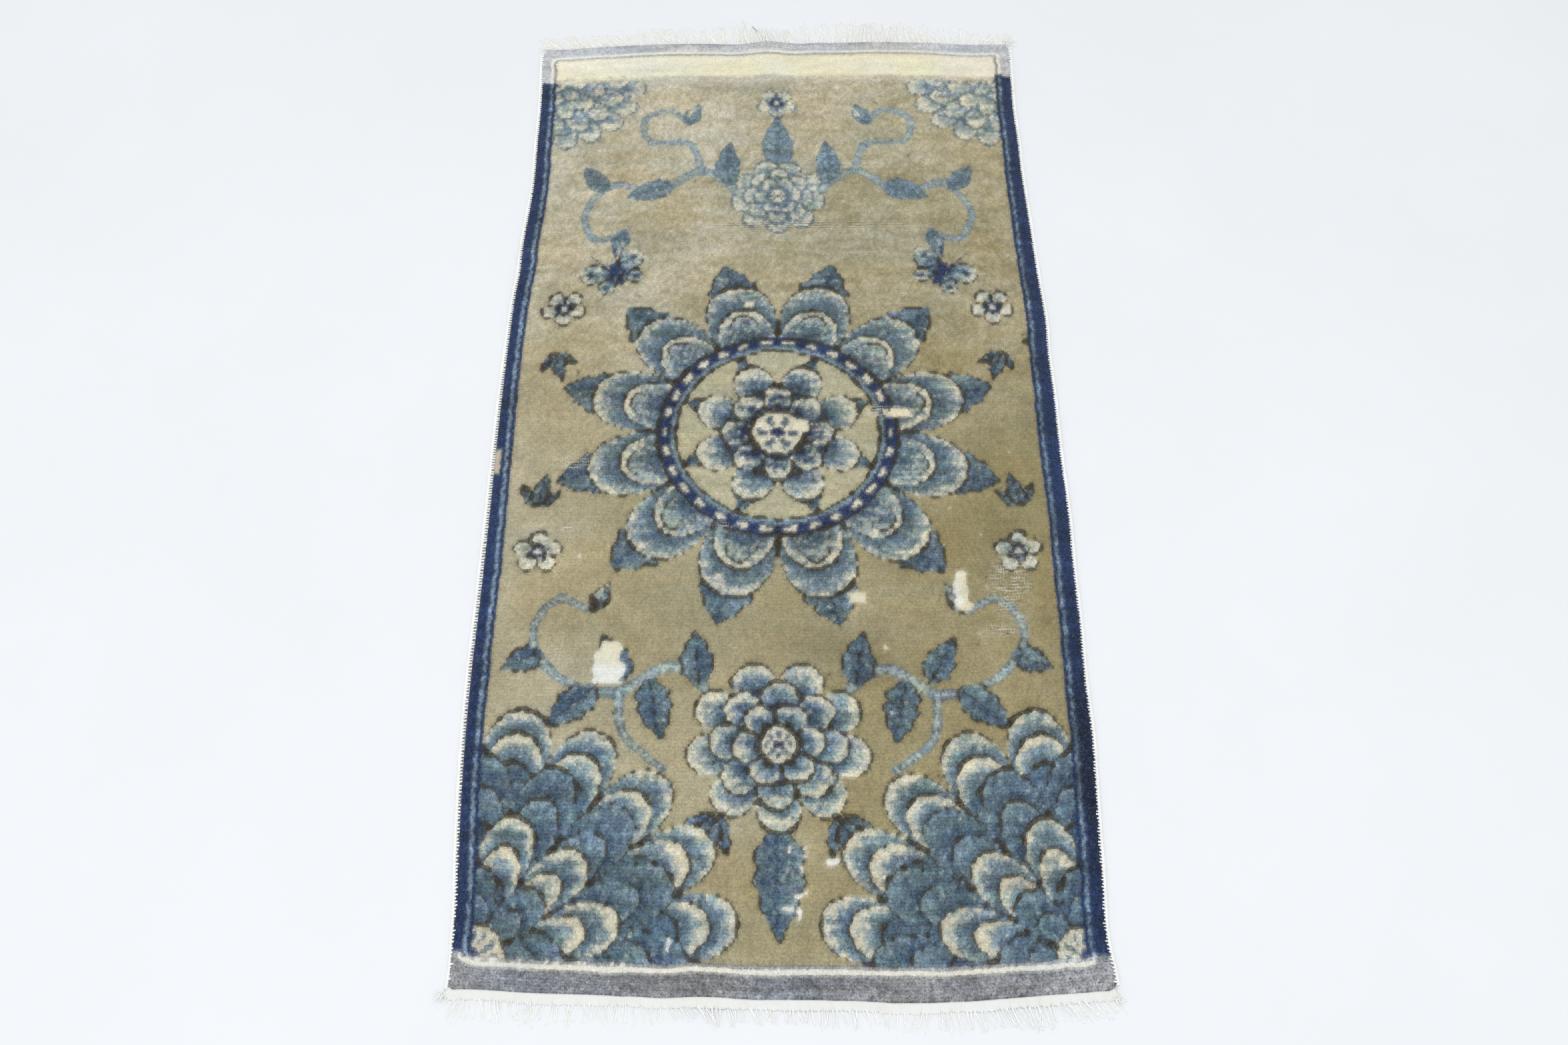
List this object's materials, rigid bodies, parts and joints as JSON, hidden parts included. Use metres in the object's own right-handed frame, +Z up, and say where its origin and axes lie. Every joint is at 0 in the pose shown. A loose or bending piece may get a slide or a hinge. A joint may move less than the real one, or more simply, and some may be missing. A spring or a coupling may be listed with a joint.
{
  "type": "chinese rug",
  "caption": "Small hand-knotted wool rug lying flat, with overcast cotton side cords and a woven web and fringe at each end.",
  "frame": {"origin": "on the floor, under the middle of the whole rug with its fringes", "axes": "+Y along the rug from the near end to the far end, +X across it, +Z up"},
  "size_m": [0.6392, 1.303, 0.007],
  "materials": {
    "wool_pile": "matte wool pile in camel, slate blue, navy and ivory",
    "cotton": "matte off-white cotton"
  },
  "bodies": {
    "root": {"rug_body": "wool_pile", "side_cord_left": "cotton", "side_cord_right": "cotton", "end_fringe_near": "cotton", "end_fringe_far": "cotton"}
  },
  "joints": []
}
